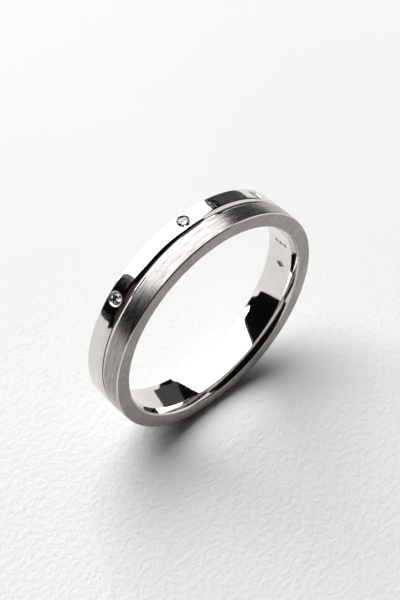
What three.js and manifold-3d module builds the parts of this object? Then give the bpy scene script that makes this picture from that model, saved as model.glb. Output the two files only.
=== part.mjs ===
// A wedding band: one white metal ring with three small brilliants set flush in its polished rail.
// Millimetres, +Z up. The ring stands on edge like a wheel: its axis is Y, its centre is the origin,
// its brushed rail faces -Y and its polished rail +Y.

import * as THREE from 'three';
import { ConvexGeometry } from 'three/addons/geometries/ConvexGeometry.js';
import { mergeVertices } from 'three/addons/utils/BufferGeometryUtils.js';
import Module from 'manifold-3d';

const wasm = await Module();
wasm.setup();

const degree = Math.PI / 180;

// ---- Driving dimensions ----

// Band
const boreDiameter = 17.2;
const outerDiameter = 20;
const bandWidth = 3.4;
const outerEdgeBreak = 0.07;
const mouthWidth = 0.66;         // length along the axis over which the bore opens out to each side face
const mouthRise = 0.24;          // how much larger the bore's radius is at the side face
const mouthCorner = 0.1;         // the last of the mouth, at 45 degrees, before the side face
const bandSegments = 180;
const firstCorner = Math.PI / bandSegments;   // half a step, so the ring stands on a flat, not a corner

// Groove between the rails: an uneven V. Its lines are distances from mid width, towards the
// polished rail when negative.
const grooveDepth = 0.14;
const polishedEdgeLine = -0.47;
const grooveBottomLine = -0.15;
const brushedEdgeLine = 0.19;
const middleSwell = 0.195;       // the polished rail's edge swells this much beside the middle stone
const middleReach = 9.5 * degree;
const outerSwell = 0.11;         // and this much beside each outer stone
const outerReach = 5 * degree;

// Stones, counted from the top of the ring towards +X
const middleStoneAngle = -4.8 * degree;
const stoneSpacing = 44.6 * degree;
const stoneLine = -1.03;         // distance of the stones from mid width, on the polished rail
const stoneNames = ['diamond_left', 'diamond_middle', 'diamond_right'];

// Round brilliant
const girdleRadius = 0.5;
const tableRadius = 0.29;
const starRadius = 0.4;          // where star, kite and upper girdle facets meet
const crownAngle = 34 * degree;
const girdleHeight = 0.03;
const pavilionAngle = 40.8 * degree;
const lowerGirdleRadius = 0.12;  // how near the lower girdle facets come to the axis
const tableDepth = 0.03;         // the table lies this far under the rail's surface

// Seat
const seatClearance = 0.015;
const lipRadius = 0.463;         // edge of the metal that holds the crown
const lipHeight = 0.06;
const bevelRadius = 0.67;        // outer edge of the bright-cut ring
const seatSides = 48;

const outerRadius = outerDiameter / 2;
const boreRadius = boreDiameter / 2;
const halfWidth = bandWidth / 2;
const crownHeight = (girdleRadius - tableRadius) * Math.tan(crownAngle);
const pavilionDepth = girdleRadius * Math.tan(pavilionAngle);
const girdleTop = outerRadius - tableDepth - crownHeight;

// ---- Solids ----

function toSolid(geometry) {
  geometry.deleteAttribute('normal');
  geometry.deleteAttribute('uv');
  const merged = mergeVertices(geometry, 1e-5);
  return new wasm.Manifold(new wasm.Mesh({
    numProp: 3,
    vertProperties: new Float32Array(merged.attributes.position.array),
    triVerts: new Uint32Array(merged.index.array),
  }));
}

function toGeometry(solid) {
  const mesh = solid.getMesh();
  const geometry = new THREE.BufferGeometry();
  geometry.setAttribute('position', new THREE.BufferAttribute(mesh.vertProperties, 3));
  geometry.setIndex(new THREE.BufferAttribute(mesh.triVerts, 1));
  geometry.computeVertexNormals();
  return geometry;
}

// ---- Band ----

const bell = (angle, reach) => Math.exp(-((angle / reach) ** 2));

// Place of the groove's polished edge at an angle from the top
function polishedEdgeAt(angle) {
  const away = Math.atan2(Math.sin(angle - middleStoneAngle), Math.cos(angle - middleStoneAngle));
  return polishedEdgeLine + middleSwell * bell(away, middleReach)
    + outerSwell * bell(Math.abs(away) - stoneSpacing, outerReach);
}

function bandGeometry() {
  const faceOuter = outerRadius - outerEdgeBreak;
  const faceInner = boreRadius + mouthRise;
  // Radius and height along the axis, from the polished face over the outside to the brushed face
  // and back through the bore; place 2 is the groove's polished edge
  const section = [
    [faceOuter, halfWidth],
    [outerRadius, halfWidth - outerEdgeBreak],
    [outerRadius, -polishedEdgeLine],
    [outerRadius - grooveDepth, -grooveBottomLine],
    [outerRadius, -brushedEdgeLine],
    [outerRadius, -halfWidth + outerEdgeBreak],
    [faceOuter, -halfWidth],
    [faceInner, -halfWidth],
    [faceInner - mouthCorner, -halfWidth + mouthCorner],
    [boreRadius, -halfWidth + mouthWidth],
    [boreRadius, halfWidth - mouthWidth],
    [faceInner - mouthCorner, halfWidth - mouthCorner],
    [faceInner, halfWidth],
  ];
  const profile = [...section, section[0]].reverse().map(([r, y]) => new THREE.Vector2(r, y));
  const geometry = new THREE.LatheGeometry(profile, bandSegments, firstCorner);

  const edgePlace = section.length - 2;
  const position = geometry.attributes.position;
  for (let step = 0; step <= bandSegments; step++) {
    const angle = firstCorner + (step % bandSegments) * 2 * Math.PI / bandSegments;
    position.setY(step * profile.length + edgePlace, -polishedEdgeAt(angle));
  }
  return geometry;
}

// The pocket under a stone: pavilion cone, girdle shelf, a lip that leans in over the crown, and
// the bright-cut bevel that opens to the rail's surface. Height 0 is the top of the girdle.
function seatGeometry() {
  const shelfRadius = girdleRadius + seatClearance;
  const coneTop = -girdleHeight - seatClearance;
  const profile = [
    new THREE.Vector2(0, coneTop - pavilionDepth - seatClearance),
    new THREE.Vector2(shelfRadius, coneTop),
    new THREE.Vector2(shelfRadius, seatClearance),
    new THREE.Vector2(lipRadius, lipHeight),
    new THREE.Vector2(bevelRadius, crownHeight + tableDepth),
    new THREE.Vector2(bevelRadius, 2 * crownHeight),
    new THREE.Vector2(0, 2 * crownHeight),
  ];
  return new THREE.LatheGeometry(profile, seatSides).rotateX(Math.PI / 2);
}

// ---- Stones ----

const ringPoint = (radius, turn, height) => new THREE.Vector3(
  radius * Math.cos(turn), radius * Math.sin(turn), height);

// Eight-fold brilliant cut, table up, height 0 at the top of the girdle
function brilliantGeometry() {
  const eighth = Math.PI / 4;
  const sixteenth = eighth / 2;
  // The side corners of a kite lie in its plane, so their height follows from their radius
  const starHeight = crownHeight * (girdleRadius - starRadius * Math.cos(sixteenth))
    / (girdleRadius - tableRadius);
  const lowerDepth = pavilionDepth * (1 - lowerGirdleRadius * Math.cos(sixteenth) / girdleRadius);
  const points = [new THREE.Vector3(0, 0, -girdleHeight - pavilionDepth)];
  for (let i = 0; i < 8; i++) {
    const turn = i * eighth;
    points.push(ringPoint(tableRadius, turn, crownHeight));
    points.push(ringPoint(starRadius, turn + sixteenth, starHeight));
    points.push(ringPoint(lowerGirdleRadius, turn + sixteenth, -girdleHeight - lowerDepth));
    for (const part of [0, sixteenth]) {
      points.push(ringPoint(girdleRadius, turn + part, 0));
      points.push(ringPoint(girdleRadius, turn + part, -girdleHeight));
    }
  }
  return new ConvexGeometry(points);
}

// ---- Assembly ----

const whiteMetal = new THREE.MeshStandardMaterial({ color: 0xcfccc6, roughness: 0.22, metalness: 1 });
const diamond = new THREE.MeshStandardMaterial({ color: 0xf4f6f8, roughness: 0.03, metalness: 0 });

const weddingBand = new THREE.Group();
let bandSolid = toSolid(bandGeometry());

stoneNames.forEach((name, place) => {
  const angle = middleStoneAngle + (place - 1) * stoneSpacing;
  const stone = new THREE.Mesh(brilliantGeometry(), diamond);
  stone.name = name;
  stone.position.set(girdleTop * Math.sin(angle), -stoneLine, girdleTop * Math.cos(angle));
  stone.rotation.y = angle;
  stone.updateMatrix();
  weddingBand.add(stone);
  bandSolid = bandSolid.subtract(toSolid(seatGeometry().applyMatrix4(stone.matrix)));
});

const band = new THREE.Mesh(toGeometry(bandSolid), whiteMetal);
band.name = 'band';
weddingBand.add(band);

export default weddingBand;
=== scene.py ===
import math

import bmesh
import bpy
from mathutils import Matrix, Vector


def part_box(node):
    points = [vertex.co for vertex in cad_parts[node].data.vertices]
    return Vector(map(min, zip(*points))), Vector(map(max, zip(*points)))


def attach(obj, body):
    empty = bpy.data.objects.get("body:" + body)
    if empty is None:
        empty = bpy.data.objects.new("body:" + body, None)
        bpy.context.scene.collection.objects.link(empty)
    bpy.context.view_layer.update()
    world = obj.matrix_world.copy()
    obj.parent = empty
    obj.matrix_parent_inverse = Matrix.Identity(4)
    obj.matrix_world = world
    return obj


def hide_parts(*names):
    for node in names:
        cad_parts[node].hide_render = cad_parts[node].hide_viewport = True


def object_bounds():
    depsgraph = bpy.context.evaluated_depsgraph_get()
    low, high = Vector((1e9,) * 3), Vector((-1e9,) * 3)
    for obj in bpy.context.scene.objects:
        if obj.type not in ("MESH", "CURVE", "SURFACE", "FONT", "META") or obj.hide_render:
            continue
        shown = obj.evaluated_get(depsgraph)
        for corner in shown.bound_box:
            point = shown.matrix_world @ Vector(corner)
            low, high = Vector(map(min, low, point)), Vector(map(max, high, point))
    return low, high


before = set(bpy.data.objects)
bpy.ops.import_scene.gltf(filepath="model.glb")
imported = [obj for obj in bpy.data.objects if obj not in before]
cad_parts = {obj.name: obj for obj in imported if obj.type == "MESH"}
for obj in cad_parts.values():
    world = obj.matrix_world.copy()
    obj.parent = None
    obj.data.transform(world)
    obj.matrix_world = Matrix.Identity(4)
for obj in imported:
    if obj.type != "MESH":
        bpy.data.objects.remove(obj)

# pieces are modelled in millimetres, round the frame's origin, and scaled to metres at the end
mm = 0.001
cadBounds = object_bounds()
bandLow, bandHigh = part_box("band")
outerRadius = (bandHigh.z - bandLow.z) / 2 / mm
halfWidth = (bandHigh.y - bandLow.y) / 2 / mm
stoneNodes = ["diamond_left", "diamond_middle", "diamond_right"]


def stonePlace(node):
    # angle from the top of the ring towards +X, place along the axis, and size across the girdle
    low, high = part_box(node)
    centre = (low + high) / 2
    return math.atan2(centre.x, centre.z), centre.y / mm, (high.y - low.y) / 2 / mm


stones = {node: stonePlace(node) for node in stoneNodes}
middleAngle, stoneLine, girdleRadius = stones["diamond_middle"]
print("frame read: outer radius", round(outerRadius, 3), "mm, stones at",
      [round(math.degrees(stones[node][0]), 1) for node in stoneNodes])


# ---- shared helpers

def finishPiece(bm, name, materials, sharpAngle=32):
    # millimetres to metres, smooth shading with true corners kept sharp
    bmesh.ops.recalc_face_normals(bm, faces=bm.faces)
    bmesh.ops.scale(bm, vec=(mm, mm, mm), verts=bm.verts)
    for face in bm.faces:
        face.smooth = True
    for edge in bm.edges:
        if len(edge.link_faces) == 2 and edge.calc_face_angle(0) > math.radians(sharpAngle):
            edge.smooth = False
    mesh = bpy.data.meshes.new(name)
    bm.to_mesh(mesh)
    bm.free()
    for material in materials:
        mesh.materials.append(material)
    piece = bpy.data.objects.new(name, mesh)
    bpy.context.scene.collection.objects.link(piece)
    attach(piece, "root")
    return piece


def spinProfile(bm, points, axis, steps):
    # an open run of points turned all the way round the axis; ends on the axis close themselves
    verts = [bm.verts.new(point) for point in points]
    edges = [bm.edges.new(pair) for pair in zip(verts, verts[1:])]
    bmesh.ops.spin(bm, geom=verts + edges, cent=(0, 0, 0), axis=axis, dvec=(0, 0, 0),
                   angle=2 * math.pi, steps=steps, use_merge=True, use_duplicate=False)
    bmesh.ops.remove_doubles(bm, verts=bm.verts, dist=1e-5)


# ---- materials

class Nodes:
    # a node tree with short ways to add what the metals and the paper need
    def __init__(self, name):
        self.material = bpy.data.materials.new(name)
        self.material.use_nodes = True
        self.tree = self.material.node_tree
        self.tree.nodes.clear()
        self.output = self.add("ShaderNodeOutputMaterial")
        self.shader = self.add("ShaderNodeBsdfPrincipled")
        self.link(self.shader.outputs["BSDF"], self.output.inputs["Surface"])

    def add(self, kind, **settings):
        node = self.tree.nodes.new(kind)
        for key, value in settings.items():
            setattr(node, key, value)
        return node

    def link(self, source, target):
        self.tree.links.new(source, target)

    def maths(self, operation, first, second=None):
        node = self.add("ShaderNodeMath", operation=operation)
        for socket, value in zip(node.inputs, (first, second)):
            if value is None:
                continue
            if isinstance(value, (int, float)):
                socket.default_value = value
            else:
                self.link(value, socket)
        return node.outputs[0]

    def blend(self, first, second, share):
        # share is the second one's part
        return self.maths("ADD", self.maths("MULTIPLY", first, 1 - share),
                          self.maths("MULTIPLY", second, share))

    def millimetres(self):
        coordinates = self.add("ShaderNodeTexCoord")
        mapping = self.add("ShaderNodeMapping")
        mapping.inputs["Scale"].default_value = (1 / mm, 1 / mm, 1 / mm)
        self.link(coordinates.outputs["Object"], mapping.inputs["Vector"])
        return mapping.outputs["Vector"]

    def noise(self, vector, scale, detail=3, roughness=0.5):
        node = self.add("ShaderNodeTexNoise")
        node.inputs["Scale"].default_value = scale
        node.inputs["Detail"].default_value = detail
        node.inputs["Roughness"].default_value = roughness
        self.link(vector, node.inputs["Vector"])
        return node.outputs["Fac"]

    def ranged(self, value, low, high, fromLow=0.3, fromHigh=0.7):
        node = self.add("ShaderNodeMapRange")
        node.inputs["From Min"].default_value = fromLow
        node.inputs["From Max"].default_value = fromHigh
        node.inputs["To Min"].default_value = low
        node.inputs["To Max"].default_value = high
        self.link(value, node.inputs["Value"])
        return node.outputs["Result"]

    def colours(self, value, first, second):
        node = self.add("ShaderNodeMix", data_type="RGBA")
        node.inputs["A"].default_value = (*first, 1)
        node.inputs["B"].default_value = (*second, 1)
        self.link(value, node.inputs["Factor"])
        return node.outputs["Result"]

    def bump(self, height, depth, strength=1.0, under=None):
        # depth is the real height of the relief in metres
        node = self.add("ShaderNodeBump")
        if isinstance(strength, (int, float)):
            node.inputs["Strength"].default_value = strength
        else:
            self.link(strength, node.inputs["Strength"])
        node.inputs["Distance"].default_value = depth
        self.link(height, node.inputs["Height"])
        if under is not None:
            self.link(under, node.inputs["Normal"])
        return node.outputs["Normal"]

    def aroundRing(self, stretch):
        # distance round the ring / stretch, place along the axis, and distance from it, in millimetres
        separate = self.add("ShaderNodeSeparateXYZ")
        self.link(self.millimetres(), separate.inputs[0])
        x, y, z = separate.outputs
        angle = self.maths("ARCTAN2", x, z)
        radius = self.maths("SQRT", self.maths("ADD", self.maths("MULTIPLY", x, x),
                                               self.maths("MULTIPLY", z, z)))
        combine = self.add("ShaderNodeCombineXYZ")
        self.link(self.maths("MULTIPLY", angle, outerRadius / stretch), combine.inputs[0])
        self.link(y, combine.inputs[1])
        self.link(radius, combine.inputs[2])
        return combine.outputs[0]


mirrorLook = {
    "light": (0.74, 0.715, 0.69),
    "deep": (0.69, 0.66, 0.635),
    "cloudScale": 0.45,
    "waveScale": 0.9,
    "hairScale": 22,
    "hairStretch": 6,
    "hairDepth": 0.00012,
    "nickScale": 14,
    "nickRange": (0.57, 0.70),      # the higher, the sparser
    # roughness, and depths of waves and nicks in millimetres
    "polished": ((0.035, 0.075), 0.0003, 0.0003),
    "worn": ((0.035, 0.075), 0.0003, 0.0012),
    "brightCut": ((0.30, 0.42), 0.0001, 0.0003),
}


def mirrorMetal(name, wear):
    # hand-polished: nearly a mirror, with faint waves and hair scratches
    look = mirrorLook
    (low, high), waveDepth, nickDepth = look[wear]
    nodes = Nodes(name)
    place = nodes.millimetres()
    cloud = nodes.noise(place, look["cloudScale"], 2)
    nodes.link(nodes.colours(nodes.ranged(cloud, 0, 1), look["deep"], look["light"]),
               nodes.shader.inputs["Base Color"])
    hair = nodes.noise(nodes.aroundRing(look["hairStretch"]), look["hairScale"], 2)
    nodes.link(nodes.ranged(hair, low, high, 0.4, 0.75), nodes.shader.inputs["Roughness"])
    # sparse pits and nicks a few hundredths across catch the light in the dark reflections
    nicks = nodes.ranged(nodes.noise(place, look["nickScale"], 2, 0.6), 0, 1, *look["nickRange"])
    wavy = nodes.bump(nodes.noise(place, look["waveScale"], 1), waveDepth * mm)
    scratched = nodes.bump(hair, look["hairDepth"] * mm, under=wavy)
    nodes.link(nodes.bump(nicks, nickDepth * mm, under=scratched), nodes.shader.inputs["Normal"])
    nodes.shader.inputs["Metallic"].default_value = 1
    return nodes.material


brushedLook = {
    "light": (0.41, 0.393, 0.385),
    "deep": (0.22, 0.21, 0.205),
    "roughness": (0.22, 0.33),
    "longStretch": 24,              # long streaks are this many times longer than wide
    "longScale": 7,
    "shortStretch": 18,
    "shortScale": 12,
    "streakRange": (0.43, 0.56),
    "depth": 0.010,
    "anisotropy": 0.6,
}


def brushedMetal(name):
    # fine scratches that run round the ring, of many lengths
    look = brushedLook
    nodes = Nodes(name)
    long = nodes.noise(nodes.aroundRing(look["longStretch"]), look["longScale"], 4, 0.75)
    short = nodes.noise(nodes.aroundRing(look["shortStretch"]), look["shortScale"], 3, 0.7)
    streaks = nodes.blend(long, short, 0.5)
    nodes.link(nodes.colours(nodes.ranged(streaks, 0, 1, *look["streakRange"]), look["deep"],
                             look["light"]), nodes.shader.inputs["Base Color"])
    nodes.link(nodes.ranged(streaks, *look["roughness"], 0.35, 0.65), nodes.shader.inputs["Roughness"])
    nodes.link(nodes.bump(streaks, look["depth"] * mm), nodes.shader.inputs["Normal"])
    tangent = nodes.add("ShaderNodeTangent", direction_type="RADIAL", axis="Y")
    nodes.link(tangent.outputs["Tangent"], nodes.shader.inputs["Tangent"])
    nodes.shader.inputs["Metallic"].default_value = 1
    nodes.shader.inputs["Anisotropic"].default_value = look["anisotropy"]
    nodes.shader.inputs["Anisotropic Rotation"].default_value = 0.25
    return nodes.material


satinLook = {
    "light": (0.52, 0.485, 0.455),
    "deep": (0.27, 0.25, 0.235),
    "roughness": (0.42, 0.55),
    "cloudScale": 0.8,
    "grainScale": 6.5,
    "grainShare": 0.8,              # the rest of the tone is cloud
    "depth": 0.008,
}


def satinMetal(name):
    # lapped side faces: an even fine grain with no direction
    look = satinLook
    nodes = Nodes(name)
    place = nodes.millimetres()
    grain = nodes.noise(place, look["grainScale"], 4, 0.75)
    cloud = nodes.noise(place, look["cloudScale"], 2)
    tone = nodes.blend(cloud, grain, look["grainShare"])
    nodes.link(nodes.colours(nodes.ranged(tone, 0, 1, 0.4, 0.6), look["deep"], look["light"]),
               nodes.shader.inputs["Base Color"])
    nodes.link(nodes.ranged(grain, *look["roughness"]), nodes.shader.inputs["Roughness"])
    nodes.link(nodes.bump(grain, look["depth"] * mm), nodes.shader.inputs["Normal"])
    nodes.shader.inputs["Metallic"].default_value = 1
    return nodes.material


# the dark base colours here are painted shade for the groove bottom and the stone pockets
recessShadeLook = {
    "light": (0.16, 0.15, 0.145),
    "deep": (0.05, 0.045, 0.04),
    "roughness": (0.45, 0.65),
    "cloudScale": 7,
    "depth": 0.004,
}


def recessShadeMetal(name):
    # painted shade in the bottom of the groove and the pockets under the stones: a dark base colour, with
    # the rough finish of metal no polishing tool reaches
    look = recessShadeLook
    nodes = Nodes(name)
    cloud = nodes.noise(nodes.millimetres(), look["cloudScale"], 3)
    nodes.link(nodes.colours(nodes.ranged(cloud, 0, 1), look["deep"], look["light"]),
               nodes.shader.inputs["Base Color"])
    nodes.link(nodes.ranged(cloud, *look["roughness"]), nodes.shader.inputs["Roughness"])
    nodes.link(nodes.bump(cloud, look["depth"] * mm), nodes.shader.inputs["Normal"])
    nodes.shader.inputs["Metallic"].default_value = 1
    return nodes.material


stoneLook = {
    "colour": (0.97, 0.98, 1, 1),
    "refraction": 2.42,
    "roughness": (0.0, 0.02),
    "polishScale": 6,
}


def clearStone(name):
    look = stoneLook
    nodes = Nodes(name)
    polish = nodes.noise(nodes.millimetres(), look["polishScale"], 2)
    nodes.link(nodes.ranged(polish, *look["roughness"]), nodes.shader.inputs["Roughness"])
    nodes.shader.inputs["Base Color"].default_value = look["colour"]
    nodes.shader.inputs["Transmission Weight"].default_value = 1
    nodes.shader.inputs["IOR"].default_value = look["refraction"]
    return nodes.material


paperLook = {
    "light": (0.84, 0.84, 0.83),
    "deep": (0.80, 0.80, 0.79),
    "roughness": 0.85,
    "cloudScale": 0.02,
    "fibreScale": 2.0,
    "fibreDepth": 0.09,
    "reliefAcross": (-0.67, -0.74),     # direction in which the sheet gets coarser
    "reliefEnds": (-18, 8),             # millimetres that way, where the relief is weakest and strongest
    "relief": (0.3, 1.1),
}


def paper(name):
    look = paperLook
    nodes = Nodes(name)
    place = nodes.millimetres()
    fibre = nodes.noise(place, look["fibreScale"], 4, 0.6)
    along = nodes.add("ShaderNodeSeparateXYZ")
    nodes.link(place, along.inputs[0])
    acrossX, acrossY = look["reliefAcross"]
    near = nodes.maths("ADD", nodes.maths("MULTIPLY", along.outputs[0], acrossX),
                       nodes.maths("MULTIPLY", along.outputs[1], acrossY))
    relief = nodes.ranged(near, *look["relief"], *look["reliefEnds"])
    cloud = nodes.noise(place, look["cloudScale"], 2)
    nodes.link(nodes.colours(nodes.ranged(cloud, 0, 1), look["deep"], look["light"]),
               nodes.shader.inputs["Base Color"])
    nodes.link(nodes.bump(fibre, look["fibreDepth"] * mm, relief), nodes.shader.inputs["Normal"])
    nodes.shader.inputs["Roughness"].default_value = look["roughness"]
    return nodes.material


bandFinishes = {
    "polished": mirrorMetal("polished_metal", "polished"),
    "brushed": brushedMetal("brushed_metal"),
    "satin": satinMetal("satin_metal"),
    "bright": mirrorMetal("bright_cut_metal", "brightCut"),
    "rail": mirrorMetal("worn_polished_metal", "worn"),
    "recessShade": recessShadeMetal("painted_recess_shade_metal"),
}
bandMaterials = list(bandFinishes.values())
finishIndex = {finish: index for index, finish in enumerate(bandFinishes)}
diamond = clearStone("diamond")
print("materials ready:", ", ".join(bandFinishes), "and diamond")


# ---- band

bandShape = {
    "steps": 720,
    "roll": 0.015,          # the polished rail falls this much over rollWidth beside its outer edge
    "rollWidth": 0.5,
    "railPoints": 11,
    "edgeBreak": 0.07,      # narrow polished flat between the brushed rail and its side face
    "boreRadius": 8.55,     # at mid width
    "boreSwell": 0.05,      # the comfort bore is this much larger where its mouths begin
    "borePoints": 9,
    "mouthWidth": 0.66,
    "mouthRise": 0.24,
    "mouthCorner": 0.1,     # the last of the mouth, at 45 degrees, before the side face
    "grooveDepth": 0.14,    # an uneven V: its three lines are places along the axis
    "polishedEdge": 0.47,
    "grooveBottom": 0.15,
    "grooveFlat": 0.10,     # width of the line at the bottom, dark with painted shade
    "brushedEdge": -0.19,
    "middleSwell": 0.195,   # the polished rail swells this much beside the middle stone
    "middleReach": math.radians(9.5),
    "outerSwell": 0.11,     # and this much beside each outer stone
    "outerReach": math.radians(5),
    "corners": {            # rounding of each corner: size and steps
        "railCorner": (0.05, 4),
        "edgeBreak": (0.022, 3),
        "railEdge": (0.09, 6),
        "brushedEdge": (0.025, 3),
        "mouthCorner": (0.03, 3),
        "boreEdge": (0.02, 2),
    },
}


def bell(angle, reach):
    return math.exp(-(angle / reach) ** 2)


def polishedEdgeAt(angle):
    # the groove's edge on the polished rail bows out to leave metal round the stones
    shape = bandShape
    away = math.remainder(angle - middleAngle, 2 * math.pi)
    spacing = stones["diamond_right"][0] - middleAngle
    return (shape["polishedEdge"] - shape["middleSwell"] * bell(away, shape["middleReach"])
            - shape["outerSwell"] * bell(abs(away) - spacing, shape["outerReach"]))


def bandSection(angle):
    # place along the axis, radius, finish of the stretch that follows, and the kind of corner
    shape = bandShape
    polishedEdge = polishedEdgeAt(angle)
    edge = shape["edgeBreak"]
    rollStart = halfWidth - shape["rollWidth"]
    section = []
    last = shape["railPoints"] - 1
    for i in range(shape["railPoints"]):
        y = halfWidth + (polishedEdge - halfWidth) * i / last
        fall = shape["roll"] * (max(0, y - rollStart) / shape["rollWidth"]) ** 2
        corner = "railCorner" if i == 0 else "railEdge" if i == last else None
        section.append((y, outerRadius - fall, "polished" if i == last else "rail", corner))
    # the flat at the bottom of the groove takes the painted shade finish
    for side, finish in ((1, "recessShade"), (-1, "polished")):
        section.append((shape["grooveBottom"] + side * shape["grooveFlat"] / 2,
                        outerRadius - shape["grooveDepth"], finish, None))
    section.append((shape["brushedEdge"], outerRadius, "brushed", "brushedEdge"))
    section.append((edge - halfWidth, outerRadius, "polished", "edgeBreak"))
    section.append((-halfWidth, outerRadius - edge, "satin", "edgeBreak"))
    boreHalf = halfWidth - shape["mouthWidth"]
    boreEdge = shape["boreRadius"] + shape["boreSwell"]
    faceRadius = boreEdge + shape["mouthRise"]
    mouth = shape["mouthCorner"]
    section.append((-halfWidth, faceRadius, "polished", "mouthCorner"))
    section.append((mouth - halfWidth, faceRadius - mouth, "polished", "mouthCorner"))
    lastBore = shape["borePoints"] - 1
    for i in range(shape["borePoints"]):
        t = 2 * i / lastBore - 1
        corner = "boreEdge" if i in (0, lastBore) else None
        radius = shape["boreRadius"] + shape["boreSwell"] * t * t
        section.append((t * boreHalf, radius, "polished", corner))
    section.append((halfWidth - mouth, faceRadius - mouth, "polished", "mouthCorner"))
    section.append((halfWidth, faceRadius, "satin", "mouthCorner"))
    return section


seatShape = {
    "clearance": 0.015,
    "lipRadius": 0.463,
    "lipHeight": 0.06,
    "rimMiddle": (0.565, 0.148),    # radius and height where the steep inner cut meets the flatter one
    "rimRadius": 0.67,
    "sides": 144,
}
stoneShape = {
    "tableRadius": 0.29,
    "starRadius": 0.4,
    "crownAngle": math.radians(34),
    "girdleHeight": 0.03,
    "pavilionAngle": math.radians(40.8),
    "lowerRadius": 0.12,
    "tableDepth": 0.03,
    "sides": 96,
}
crownHeight = (girdleRadius - stoneShape["tableRadius"]) * math.tan(stoneShape["crownAngle"])
pavilionDepth = girdleRadius * math.tan(stoneShape["pavilionAngle"])
girdleTop = outerRadius - stoneShape["tableDepth"] - crownHeight


def onRail(angle, along):
    # from a stone's own space, table up and girdle top at 0, to its place in the rail
    out = Vector((math.sin(angle), 0, math.cos(angle))) * girdleTop
    return Matrix.Translation((out.x, along, out.z)) @ Matrix.Rotation(angle, 4, "Y")


def seatCutter(bm, angle, along):
    # pavilion cone, girdle shelf, lip that leans in over the crown, bright-cut bevel
    shape = seatShape
    shelf = girdleRadius + shape["clearance"]
    coneTop = -stoneShape["girdleHeight"] - shape["clearance"]
    top = 3 * crownHeight
    middleRadius, middleHeight = shape["rimMiddle"]
    cutter = bmesh.new()
    spinProfile(cutter, [(0, 0, coneTop - pavilionDepth - shape["clearance"]), (shelf, 0, coneTop),
                         (shelf, 0, shape["clearance"]), (shape["lipRadius"], 0, shape["lipHeight"]),
                         (middleRadius, 0, middleHeight),
                         (shape["rimRadius"], 0, crownHeight + stoneShape["tableDepth"]),
                         (shape["rimRadius"], 0, top), (0, 0, top)], (0, 0, 1), shape["sides"])
    # the pocket below the lip takes painted shade; the bevel above is bright-cut metal
    for face in cutter.faces:
        inside = face.calc_center_median().z < shape["lipHeight"]
        face.material_index = finishIndex["recessShade" if inside else "bright"]
    bmesh.ops.transform(cutter, matrix=onRail(angle, along), verts=cutter.verts)
    mesh = bpy.data.meshes.new("cutter")
    cutter.to_mesh(mesh)
    cutter.free()
    bm.from_mesh(mesh)
    bpy.data.meshes.remove(mesh)


punchMarks = {
    "depth": 0.09,
    "dotsAngle": math.radians(80),     # from the top of the ring towards +X
    "dotRadius": 0.26,
    "dotSpacing": 0.46,
    "lozengeAngle": math.radians(97),
    "lozengeRadius": 0.44,
    "lozengeSlimness": 0.7,
    "lozengeTaper": 0.06,
}


def punchCutters(bm):
    # two shallow punches in the bore: three dots in a row, and a lozenge
    shape = punchMarks
    floor = bandShape["boreRadius"] + shape["depth"]
    turn = Matrix.Rotation(shape["dotsAngle"], 4, "Y")
    for i in (-1, 0, 1):
        place = Matrix.Translation((0, i * shape["dotSpacing"], floor - shape["dotRadius"]))
        bmesh.ops.create_uvsphere(bm, u_segments=24, v_segments=16, radius=shape["dotRadius"],
                                  matrix=turn @ place)
    radius = shape["lozengeRadius"]
    place = Matrix.Translation((0, 0, floor - radius / 2))
    bmesh.ops.create_cone(bm, cap_ends=True, segments=4, radius1=radius + shape["lozengeTaper"],
                          radius2=radius, depth=radius,
                          matrix=Matrix.Rotation(shape["lozengeAngle"], 4, "Y") @ place
                          @ Matrix.Diagonal((shape["lozengeSlimness"], 1, 1, 1)))
    for face in bm.faces:
        if face.calc_center_median().length < bandShape["boreRadius"] + 2 * shape["depth"]:
            face.material_index = finishIndex["satin"]


def cutAway(bm, cutterBm):
    # exact boolean of two bmeshes; the result comes back as a new bmesh
    objects = []
    for source, name in ((bm, "blank"), (cutterBm, "cutter")):
        mesh = bpy.data.meshes.new(name)
        source.to_mesh(mesh)
        source.free()
        for material in bandMaterials:
            mesh.materials.append(material)
        item = bpy.data.objects.new(name, mesh)
        bpy.context.scene.collection.objects.link(item)
        objects.append(item)
    blank, cutter = objects
    modifier = blank.modifiers.new("cut", "BOOLEAN")
    modifier.operation = "DIFFERENCE"
    modifier.solver = "EXACT"
    modifier.object = cutter
    shown = blank.evaluated_get(bpy.context.evaluated_depsgraph_get())
    result = bmesh.new()
    result.from_mesh(shown.to_mesh())
    shown.to_mesh_clear()
    for item in objects:
        mesh = item.data
        bpy.data.objects.remove(item)
        bpy.data.meshes.remove(mesh)
    return result


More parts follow.
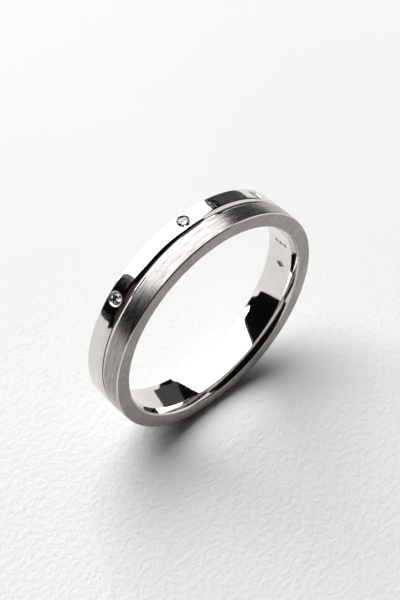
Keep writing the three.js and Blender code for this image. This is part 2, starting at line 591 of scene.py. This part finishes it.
def makeBand():
    bm = bmesh.new()
    placeLayer = bm.verts.layers.int.new("place")
    section = bandSection(0)
    verts = []
    for place, (y, radius, finish, corner) in enumerate(section):
        vert = bm.verts.new((0, y, radius))
        vert[placeLayer] = place
        verts.append(vert)
    edges = [bm.edges.new((verts[i - 1], verts[i])) for i in range(len(verts))]
    bmesh.ops.spin(bm, geom=verts + edges, cent=(0, 0, 0), axis=(0, 1, 0), dvec=(0, 0, 0),
                   angle=2 * math.pi, steps=bandShape["steps"], use_merge=True, use_duplicate=False)
    # the groove's edge on the polished rail follows its curve round the ring
    for vert in bm.verts:
        angle = math.atan2(vert.co.x, vert.co.z)
        y, radius = bandSection(angle)[vert[placeLayer]][:2]
        vert.co = (radius * math.sin(angle), y, radius * math.cos(angle))
    for face in bm.faces:
        places = sorted({vert[placeLayer] for vert in face.verts})
        first = places[-1] if places[-1] - places[0] > 1 else places[0]
        face.material_index = finishIndex[section[first][2]]
    bmesh.ops.recalc_face_normals(bm, faces=bm.faces)
    loops = {}
    for edge in bm.edges:
        a, b = (vert[placeLayer] for vert in edge.verts)
        if a == b and section[a][3]:
            loops.setdefault(section[a][3], []).append(edge)
    for corner, (size, steps) in bandShape["corners"].items():
        bmesh.ops.bevel(bm, geom=loops[corner], offset=size, offset_type="OFFSET", segments=steps,
                        profile=0.5, affect="EDGES", material=-1, clamp_overlap=True)
    cutters = bmesh.new()
    for angle, along, radius in stones.values():
        seatCutter(cutters, angle, along)
    punchCutters(cutters)
    bmesh.ops.recalc_face_normals(cutters, faces=cutters.faces)
    bm = cutAway(bm, cutters)
    piece = finishPiece(bm, "ring_band", bandMaterials, sharpAngle=24)
    # broad faces keep their true shade beside the small roundings and the narrow flats
    weighted = piece.modifiers.new("shading", "WEIGHTED_NORMAL")
    weighted.keep_sharp = True
    weighted.weight = 90
    return piece


band = makeBand()
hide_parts("band")
print("band:", len(band.data.polygons), "faces")


# ---- stones

def cutFacet(bm, a, b, c):
    # everything outside the plane through three points is ground away
    normal = (b - a).cross(c - a).normalized()
    if normal.dot(a - Vector((0, 0, -pavilionDepth / 3))) < 0:
        normal = -normal
    parts = bm.verts[:] + bm.edges[:] + bm.faces[:]
    cut = bmesh.ops.bisect_plane(bm, geom=parts, dist=1e-6, plane_co=a, plane_no=normal, clear_outer=True)
    rim = [part for part in cut["geom_cut"] if isinstance(part, bmesh.types.BMEdge)]
    if len(rim) > 2:
        bmesh.ops.edgeloop_fill(bm, edges=rim)


def makeBrilliant(node):
    # ground like the real stone: a round blank, then table, stars, kites and girdle facets
    shape = stoneShape
    angle, along, radius = stones[node]
    half = math.pi / 8
    depth = shape["girdleHeight"] + pavilionDepth

    def point(distance, step, height):
        return Vector((distance * math.cos(step * half), distance * math.sin(step * half), height))

    bm = bmesh.new()
    bmesh.ops.create_cone(bm, cap_ends=True, segments=shape["sides"], radius1=radius, radius2=radius,
                          depth=depth + crownHeight)
    bmesh.ops.translate(bm, vec=(0, 0, (crownHeight - depth) / 2), verts=bm.verts)
    starHeight = (crownHeight * (radius - shape["starRadius"] * math.cos(half))
                  / (radius - shape["tableRadius"]))
    lowerHeight = -shape["girdleHeight"] - pavilionDepth * (
        1 - shape["lowerRadius"] * math.cos(half) / radius)
    culet = Vector((0, 0, -depth))
    for i in range(0, 16, 2):
        star = point(shape["starRadius"], i + 1, starHeight)
        lastStar = point(shape["starRadius"], i - 1, starHeight)
        tableCorner = point(shape["tableRadius"], i, crownHeight)
        nextCorner = point(shape["tableRadius"], i + 2, crownHeight)
        lower = point(shape["lowerRadius"], i + 1, lowerHeight)
        lastLower = point(shape["lowerRadius"], i - 1, lowerHeight)
        cutFacet(bm, tableCorner, lastStar, star)
        cutFacet(bm, tableCorner, nextCorner, star)
        cutFacet(bm, culet, lastLower, lower)
        for j in (i, i + 1):
            cutFacet(bm, star, point(radius, j, 0), point(radius, j + 1, 0))
            cutFacet(bm, lower, point(radius, j, -shape["girdleHeight"]),
                     point(radius, j + 1, -shape["girdleHeight"]))
    bmesh.ops.remove_doubles(bm, verts=bm.verts, dist=1e-5)
    bmesh.ops.transform(bm, matrix=onRail(angle, along), verts=bm.verts)
    stone = finishPiece(bm, "brilliant_" + node.split("_")[1], [diamond], sharpAngle=0.5)
    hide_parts(node)
    return stone


for node in stoneNodes:
    stone = makeBrilliant(node)
    print(stone.name, len(stone.data.polygons), "facets")


# ---- floor, light and camera

studio = {
    "floorEdges": (-0.286, 0.184, -0.6, 0.5),    # left, right, front and back of the sheet of paper
    "lightLean": math.radians(49),               # of the soft boxes' faces, from level
    # distance; left, right, low and high edges in distances; glow
    "metalLight": (0.6, -0.79, 0.88, -0.62, 0.95, 3.3),
    "paperLight": (0.8, -0.5, 0.6, -0.40, 0.70, 5.3),
    "dark": 0.004,
    "pale": 0.86,
    "cards": {               # turn from +Y towards +X, distance, width, bottom, top and glow
        "white_card": (112, 0.20, 0.17, -0.01, 0.35, (0.95, 0.95, 0.94)),
        "grey_wall": (61, 0.21, 0.12, -0.01, 0.106, (0.072, 0.072, 0.072)),
        "dark_wood": (-120, 0.40, 0.16, 0.02, 0.32, (0.06, 0.032, 0.029)),
    },
}


def makeFloor():
    bm = bmesh.new()
    left, right, front, back = studio["floorEdges"]
    bmesh.ops.create_grid(bm, x_segments=8, y_segments=8, size=0.5)
    bmesh.ops.scale(bm, vec=(right - left, back - front, 1), verts=bm.verts)
    bmesh.ops.translate(bm, vec=((left + right) / 2, (front + back) / 2, bandLow.z), verts=bm.verts)
    mesh = bpy.data.meshes.new("floor")
    bm.to_mesh(mesh)
    bm.free()
    mesh.materials.append(paper("paper"))
    floor = bpy.data.objects.new("floor", mesh)
    bpy.context.scene.collection.objects.link(floor)


def placed(centre, right, up, back):
    # a light or camera at centre that looks along -back
    return Matrix.Translation(centre) @ Matrix((right, up, back)).transposed().to_4x4()


def areaLight(name, centre, facing, across, width, height, glow):
    # facing points from the light to what it lights; across is the direction of its width
    data = bpy.data.lights.new(name, "AREA")
    data.shape = "RECTANGLE"
    data.size = width
    data.size_y = height
    data.energy = math.pi * width * height * max(glow)
    data.color = [level / max(glow) for level in glow]
    light = bpy.data.objects.new(name, data)
    back = -Vector(facing).normalized()
    right = Vector(across).normalized()
    light.matrix_world = placed(centre, right, back.cross(right), back)
    light.visible_camera = False
    bpy.context.scene.collection.objects.link(light)
    return light


def softBox(name, distance, left, right, low, high, glow):
    # leans over the ring from behind
    lean = studio["lightLean"]
    out = Vector((0, math.sin(lean), math.cos(lean)))
    up = Vector((0, -math.cos(lean), math.sin(lean)))
    centre = out * distance + up * (low + high) / 2 * distance
    centre.x = (left + right) / 2 * distance
    return areaLight(name, centre, -out, (1, 0, 0), (right - left) * distance, (high - low) * distance,
                     (glow, glow, glow))


def makeLights():
    # the wide soft box shows in the metal, the smaller and hotter one lights the paper
    metalLight = softBox("metal_light", *studio["metalLight"])
    metalLight.visible_diffuse = False
    paperLight = softBox("paper_light", *studio["paperLight"])
    paperLight.visible_glossy = False
    paperLight.visible_transmission = False
    # cards that only the metal sees
    for name, (turn, away, width, bottom, top, glow) in studio["cards"].items():
        out = Vector((math.sin(math.radians(turn)), math.cos(math.radians(turn)), 0))
        card = areaLight(name, out * away + Vector((0, 0, (bottom + top) / 2)), -out,
                         (out.y, -out.x, 0), width, top - bottom, glow)
        card.visible_diffuse = False


def makeWorld():
    # pale behind the floor, dark in reflections, as in a studio with one light
    world = bpy.data.worlds.new("studio")
    bpy.context.scene.world = world
    world.use_nodes = True
    tree = world.node_tree
    tree.nodes.clear()
    output = tree.nodes.new("ShaderNodeOutputWorld")
    mix = tree.nodes.new("ShaderNodeMixShader")
    rays = tree.nodes.new("ShaderNodeLightPath")
    tree.links.new(rays.outputs["Is Camera Ray"], mix.inputs["Fac"])
    for socket, level in ((1, studio["dark"]), (2, studio["pale"])):
        background = tree.nodes.new("ShaderNodeBackground")
        background.inputs["Color"].default_value = (level, level, level, 1)
        tree.links.new(background.outputs["Background"], mix.inputs[socket])
    tree.links.new(mix.outputs["Shader"], output.inputs["Surface"])


cameraSet = {
    "azimuth": math.radians(-42.16),
    "elevation": math.radians(49.89),
    "distance": 0.13993,
    "lens": 108.7,
    "sensor": 36,
    "clip": (0.01, 5),
    "aimRight": -0.000115,
    "aimUp": 0.000787,
}


def makeCamera():
    azimuth, elevation = cameraSet["azimuth"], cameraSet["elevation"]
    back = Vector((math.sin(azimuth) * math.cos(elevation), -math.cos(azimuth) * math.cos(elevation),
                   math.sin(elevation)))
    right = Vector((math.cos(azimuth), math.sin(azimuth), 0))
    up = back.cross(right)
    data = bpy.data.cameras.new("camera")
    data.lens = cameraSet["lens"]
    data.sensor_width = cameraSet["sensor"]
    data.clip_start, data.clip_end = cameraSet["clip"]
    camera = bpy.data.objects.new("camera", data)
    centre = (cadBounds[0] + cadBounds[1]) / 2
    aim = centre + right * cameraSet["aimRight"] + up * cameraSet["aimUp"]
    camera.matrix_world = placed(aim + back * cameraSet["distance"], right, up, back)
    bpy.context.scene.collection.objects.link(camera)
    bpy.context.scene.camera = camera


makeFloor()
makeLights()
makeWorld()
makeCamera()
bpy.context.scene.view_settings.view_transform = "Standard"
print("studio ready")
